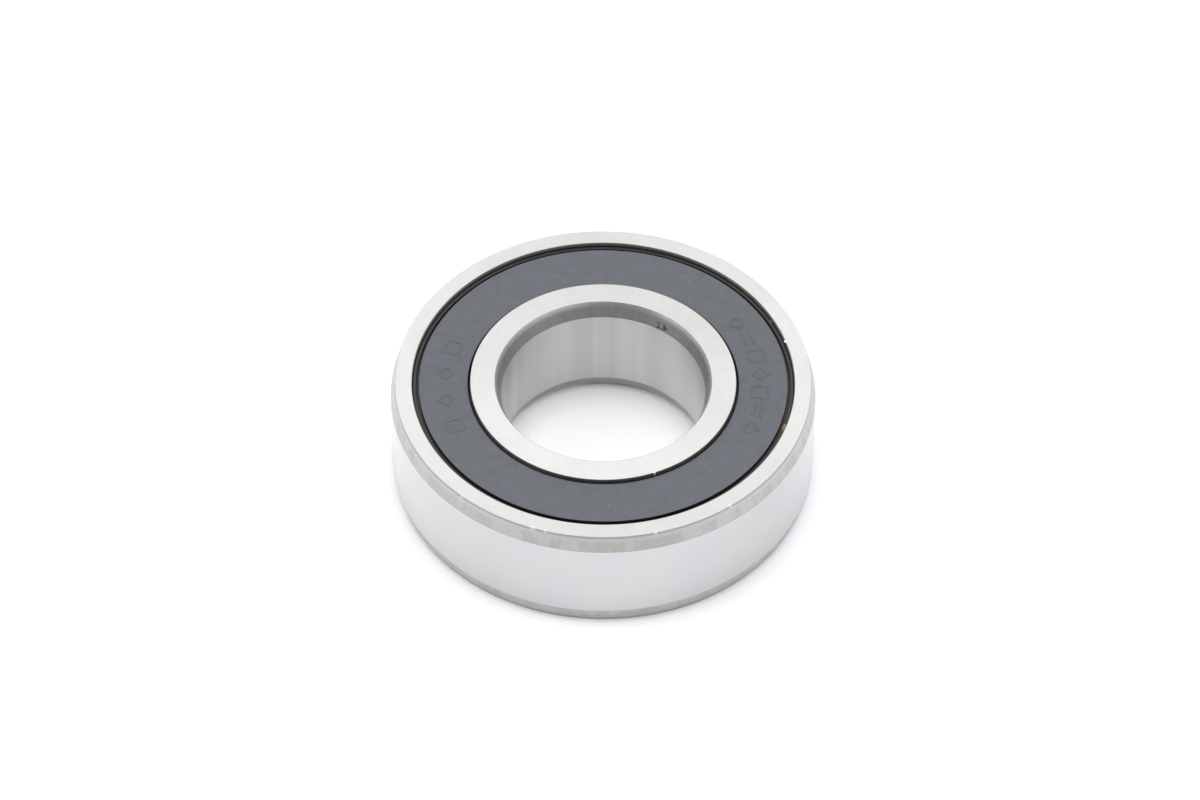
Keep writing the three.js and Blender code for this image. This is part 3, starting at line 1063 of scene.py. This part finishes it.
def cage_half(name):
    """A pressed ribbon with a pocket over each ball and a hole for each rivet, above the middle."""
    outer_pocket = POCKET_RADIUS + CAGE_SHEET
    radii = np.linspace(CAGE_INNER_RADIUS, CAGE_OUTER_RADIUS, CAGE_ROWS)
    reach = np.arccos((radii ** 2 + PITCH_RADIUS ** 2 - outer_pocket ** 2) / (2 * radii * PITCH_RADIUS))
    over_ball = np.sin(np.linspace(-math.pi / 2, math.pi / 2, POCKET_STEPS, endpoint=False))
    over_land = np.linspace(0, 1, LAND_STEPS, endpoint=False)
    plan = np.concatenate([
        over_ball[:, None] * reach[None, :],
        reach[None, :] + over_land[:, None] * (SECTOR - 2 * reach)[None, :],
    ])
    plan = np.concatenate([plan + START_ANGLE + k * SECTOR for k in range(BALL_COUNT)])
    from_ball = (plan - START_ANGLE + SECTOR / 2) % SECTOR - SECTOR / 2
    distance = np.sqrt(radii ** 2 + PITCH_RADIUS ** 2 - 2 * radii * PITCH_RADIUS * np.cos(from_ball))
    under = sheet_height(distance, POCKET_RADIUS, CAGE_HALF_GAP)
    over = sheet_height(distance, outer_pocket, CAGE_HALF_GAP + CAGE_SHEET)
    around = np.concatenate([over, under[:, ::-1]], axis=1)
    turns = np.concatenate([plan, plan[:, ::-1]], axis=1)
    reach_out = np.concatenate([radii, radii[::-1]])[None, :]
    points = np.stack([reach_out * np.cos(turns), reach_out * np.sin(turns), around], axis=-1)
    here = np.arange(points.shape[0] * points.shape[1]).reshape(points.shape[:2])
    ahead = np.roll(here, -1, axis=0)
    faces = np.stack([here, np.roll(here, -1, axis=1), np.roll(ahead, -1, axis=1), ahead], axis=-1)
    mesh = bpy.data.meshes.new(name)
    mesh.from_pydata((points.reshape(-1, 3) * MM).tolist(), [], faces.reshape(-1, 4).tolist())
    return drilled(new_piece(name, mesh, [cage_steel]))


def rivet_place(k):
    return on_pitch_circle(START_ANGLE + (k + 0.5) * SECTOR)


def drilled(half):
    """Cuts the rivet holes, then shades the sheet smooth with crisp edges."""
    shape = bmesh.new()
    for k in range(BALL_COUNT):
        bmesh.ops.create_cone(
            shape,
            cap_ends=True,
            segments=DRILL_SEGMENTS,
            radius1=RIVET_HOLE_RADIUS * MM,
            radius2=RIVET_HOLE_RADIUS * MM,
            depth=DRILL_LENGTH * MM,
            matrix=Matrix.Translation(rivet_place(k)),
        )
    drills = bpy.data.meshes.new("drills")
    shape.to_mesh(drills)
    shape.free()
    cutter = bpy.data.objects.new("drills", drills)
    bpy.context.scene.collection.objects.link(cutter)
    cut = half.modifiers.new("holes", "BOOLEAN")
    cut.operation = "DIFFERENCE"
    cut.object = cutter
    cut.solver = "EXACT"
    whole = bpy.data.meshes.new_from_object(half.evaluated_get(bpy.context.evaluated_depsgraph_get()))
    half.modifiers.clear()
    half.data = whole
    bpy.data.objects.remove(cutter)
    whole.shade_smooth()
    whole.set_sharp_from_angle(angle=CRISP_ANGLE)
    return half


def rivet(name, k):
    """A shank with a low domed head at each end."""
    top = RIVET_HEAD_SEAT + RIVET_HEAD_HEIGHT
    dome = (RIVET_HEAD_RADIUS ** 2 + RIVET_HEAD_HEIGHT ** 2) / (2 * RIVET_HEAD_HEIGHT)
    spread = math.asin(RIVET_HEAD_RADIUS / dome)
    profile = [(0.0, top)]
    for step in range(1, DOME_STEPS + 1):
        a = spread * step / DOME_STEPS
        profile.append((dome * math.sin(a), top - dome + dome * math.cos(a)))
    profile.append((RIVET_SHANK_RADIUS + HEAD_LIP, RIVET_HEAD_SEAT))
    profile.append((RIVET_SHANK_RADIUS, RIVET_HEAD_SEAT - HEAD_UNDERCUT))
    profile += [(radius, -height) for radius, height in reversed(profile)]
    mesh = bpy.data.meshes.new(name)
    shape = bmesh.new()
    verts = [shape.verts.new((radius * MM, 0, height * MM)) for radius, height in profile]
    edges = [shape.edges.new(pair) for pair in zip(verts, verts[1:])]
    bmesh.ops.spin(
        shape,
        geom=verts + edges,
        axis=(0, 0, 1),
        cent=(0, 0, 0),
        steps=RIVET_COLUMNS,
        angle=2 * math.pi,
        use_duplicate=False,
    )
    bmesh.ops.remove_doubles(shape, verts=shape.verts[:], dist=MERGE_DISTANCE)
    bmesh.ops.recalc_face_normals(shape, faces=shape.faces[:])
    shape.to_mesh(mesh)
    shape.free()
    mesh.shade_smooth()
    mesh.set_sharp_from_angle(angle=CRISP_ANGLE)
    piece = new_piece(name, mesh, [rivet_steel])
    piece.location = rivet_place(k)
    return piece


stands_for(cage_half("cage_sheet_upper"), "cage_upper", "cage")
stands_for(turned_over(cage_half("cage_sheet_lower")), "cage_lower", "cage")
for k in range(BALL_COUNT):
    stands_for(rivet(f"rivet_wire_{k + 1}", k), f"rivet_{k + 1}", "cage")


# ---------------------------------------------------------------- grease

def grease_blob(name, angle, radius, height, size):
    """A dry lump of grease. angle is in degrees, the rest in millimetres."""
    blob = cube_sphere(name, 1.0, GREASE_CUTS, [amber_grease], stretch=size, wobble=GREASE_WOBBLE)
    turn = math.radians(angle)
    blob.location = Vector((radius * math.cos(turn), radius * math.sin(turn), height)) * MM
    blob.rotation_euler = (0, 0, turn)
    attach(blob, "outer")


grease_blob("grease_fleck_large", angle=-17.6, radius=23.1, height=BEAD_TOP, size=(0.26, 0.62, 0.16))
grease_blob("grease_fleck_small", angle=27.3, radius=23.19, height=BEAD_TOP, size=(0.1, 0.24, 0.08))


# ---------------------------------------------------------------- table, light and picture

TABLE_HALF = 1.5
NEAR_WHITE = ((0.905, 0.92, 0.943, 1), (0.92, 0.932, 0.955, 1))
FAR_SHADED_WHITE = (0.735, 0.735, 0.74, 1)
NEAR_RADIUS = 40.0
FAR_RADIUS = 95.0


def make_table():
    """A white sheet as low as the bearing's lowest point, painted darker away from the bearing as painted
    shade where the light falls off.
    """
    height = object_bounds()[0].z
    corners = [(x * TABLE_HALF, y * TABLE_HALF, height) for x, y in ((-1, -1), (1, -1), (1, 1), (-1, 1))]
    mesh = bpy.data.meshes.new("table_top")
    mesh.from_pydata(corners, [], [(0, 1, 2, 3)])
    material, tree, shader = new_material("white_table")
    at = place(tree)
    tone = noise(tree, at["point"], scale=0.02)
    # Painted shade: the sheet darkens from NEAR_RADIUS to FAR_RADIUS.
    painted_falloff = remap(tree, at["radius"], NEAR_RADIUS, FAR_RADIUS, soft=True)
    near = mix_colours(tree, tone, *NEAR_WHITE)
    put(tree, shader.inputs["Base Color"], mix_colours(tree, painted_falloff, near, FAR_SHADED_WHITE))
    shader.inputs["Roughness"].default_value = 0.7
    shader.inputs["IOR"].default_value = 1.3
    new_piece("table_top", mesh, [material])


# A patch of sky. direction is its middle; full and fading are in degrees from there. squash scales
# the way looked along first, so that a number above 1 narrows the patch along that axis.
Patch = namedtuple("Patch", "direction squash full fading inside beyond")
ROUND = (1, 1, 1)
LOW = (1, 1, 1.6)
NARROW = (1.4, 1, 1)
OPENINGS = (
    Patch((0, -0.97, 0.2), ROUND, full=25, fading=48, inside=0.22, beyond=1.0),
    Patch((0, 1, 0.0), LOW, full=8, fading=25, inside=0.45, beyond=1.0),
)
SIDE_OPENINGS = (
    Patch((-1, 0.1, 0.0), LOW, full=6, fading=22, inside=0.5, beyond=1.0),
    Patch((1, 0.1, 0.0), LOW, full=6, fading=22, inside=0.5, beyond=1.0),
)
LAMPS = (
    Patch((0, -0.03, 1), NARROW, full=14, fading=14, inside=4.5, beyond=0.0),
    Patch((-1, 0, 0.7), ROUND, full=8, fading=20, inside=1.8, beyond=0.0),
    Patch((1, 0, 0.7), ROUND, full=8, fading=20, inside=1.2, beyond=0.0),
)
SOFT_TOP = Patch((0, 0.05, 1), ROUND, full=46, fading=26, inside=0.6, beyond=0.0)


def glow(tree, way, patch):
    """The brightness of one patch of sky along a way."""
    squashed = vector_maths(tree, "MULTIPLY", "Vector", way, patch.squash)
    unit = vector_maths(tree, "NORMALIZE", "Vector", squashed)
    dot = vector_maths(tree, "DOT_PRODUCT", "Value", unit, Vector(patch.direction).normalized())
    near = math.cos(math.radians(patch.full))
    far = math.cos(math.radians(patch.full + patch.fading))
    return remap(tree, dot, far, near, patch.beyond, patch.inside, soft=True)


def sky(tree, way, base, openings, lamps):
    """A background of a given brightness, with dark openings and lamps."""
    level = base
    for opening in openings:
        level = times(tree, glow(tree, way, opening), level)
    for lamp in lamps:
        level = plus(tree, level, glow(tree, way, lamp))
    node = tree.nodes.new("ShaderNodeBackground")
    node.inputs["Color"].default_value = (1, 1, 1, 1)
    put(tree, node.inputs["Strength"], level)
    return node.outputs["Background"]


def make_world():
    """A white tent with three lamps: one overhead and a weaker one on each side.

    Steel mirrors the soft tent without the lamps, and the camera sees plain white behind the table.
    """
    world = bpy.data.worlds.new("tent")
    bpy.context.scene.world = world
    world.use_nodes = True
    tree = world.node_tree
    tree.nodes.clear()
    way = tree.nodes.new("ShaderNodeTexCoord").outputs["Generated"]
    lighting = sky(tree, way, 1.0, OPENINGS, LAMPS)
    mirrored = sky(tree, way, 0.95, OPENINGS + SIDE_OPENINGS, (SOFT_TOP,))
    behind = tree.nodes.new("ShaderNodeBackground")
    behind.inputs["Color"].default_value = (1, 1, 1, 1)
    rays = tree.nodes.new("ShaderNodeLightPath")
    unseen = tree.nodes.new("ShaderNodeMixShader")
    tree.links.new(rays.outputs["Is Glossy Ray"], unseen.inputs["Fac"])
    tree.links.new(lighting, unseen.inputs[1])
    tree.links.new(mirrored, unseen.inputs[2])
    whole = tree.nodes.new("ShaderNodeMixShader")
    tree.links.new(rays.outputs["Is Camera Ray"], whole.inputs["Fac"])
    tree.links.new(unseen.outputs["Shader"], whole.inputs[1])
    tree.links.new(behind.outputs["Background"], whole.inputs[2])
    output = tree.nodes.new("ShaderNodeOutputWorld")
    tree.links.new(whole.outputs["Shader"], output.inputs["Surface"])


make_table()
make_world()
bpy.context.scene.view_settings.view_transform = "Standard"
